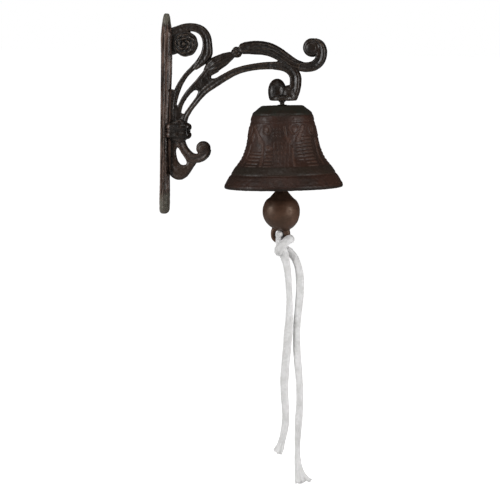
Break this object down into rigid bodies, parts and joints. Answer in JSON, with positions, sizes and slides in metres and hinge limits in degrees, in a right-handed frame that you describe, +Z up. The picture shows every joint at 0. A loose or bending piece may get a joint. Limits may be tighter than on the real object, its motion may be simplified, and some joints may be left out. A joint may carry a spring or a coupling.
{
  "type": "wall mounted bell",
  "caption": "Scrolled cast-iron wall bracket with a flared bell that turns on a bolt, a ball clapper hung on a link, and a short cotton pull cord tied to the clapper.",
  "frame": {"origin": "centre of the wall plate's flat back face", "axes": "+X out from the wall along the arm, +Z up, +Y along the wall"},
  "size_m": [0.1847, 0.117, 0.4574],
  "materials": {
    "bracket_iron": "dark bronzed, matt, worn on the edges",
    "bell_iron": "dark rust-brown, matt",
    "clapper_iron": "brown, smoother, half matt",
    "hardware_steel": "blackened",
    "cotton_cord": "braided cotton"
  },
  "bodies": {
    "bracket": {"back_plate": "bracket_iron", "root_web": "bracket_iron", "rosette": "bracket_iron", "top_volute": "bracket_iron", "upper_stem": "bracket_iron", "middle_stem": "bracket_iron", "lower_strand": "bracket_iron", "arm_calyx": "bracket_iron", "arm_bead": "bracket_iron", "arm_leaf": "bracket_iron", "tip_curl": "bracket_iron", "hook": "bracket_iron", "hook_boss": "bracket_iron", "collar": "bracket_iron", "tail_scroll": "bracket_iron", "tail_leaf": "bracket_iron", "hanger_bolt": "hardware_steel", "bearing_washer": "hardware_steel", "support_nut": "hardware_steel", "lock_nut": "hardware_steel"},
    "bell": {"bell_shell": "bell_iron"},
    "link": {"clapper_link": "hardware_steel"},
    "clapper": {"clapper_shank": "hardware_steel", "clapper_ball": "clapper_iron"},
    "cord": {"cord_loop": "cotton_cord", "cord_knot": "cotton_cord", "cord_left": "cotton_cord", "cord_right": "cotton_cord"}
  },
  "joints": [
    {"name": "bell_turn", "type": "hinge", "parent": "bracket", "child": "bell", "pos_m": [0.1235, 0, 0.0113], "axis": [-0.0349, 0, 0.9994], "continuous": true},
    {"name": "clapper_swing", "type": "hinge", "parent": "bracket", "child": "link", "pos_m": [0.12423, 0, -0.0146], "axis": [1, 0, 0], "range_deg": [-26, 26]},
    {"name": "clapper_rock", "type": "hinge", "parent": "link", "child": "clapper", "pos_m": [0.12423, 0, -0.0266], "axis": [0, 1, 0], "range_deg": [-11, 11]},
    {"name": "cord_swing", "type": "hinge", "parent": "clapper", "child": "cord", "pos_m": [0.12423, 0, -0.1221], "axis": [1, 0, 0], "range_deg": [-40, 40]}
  ]
}
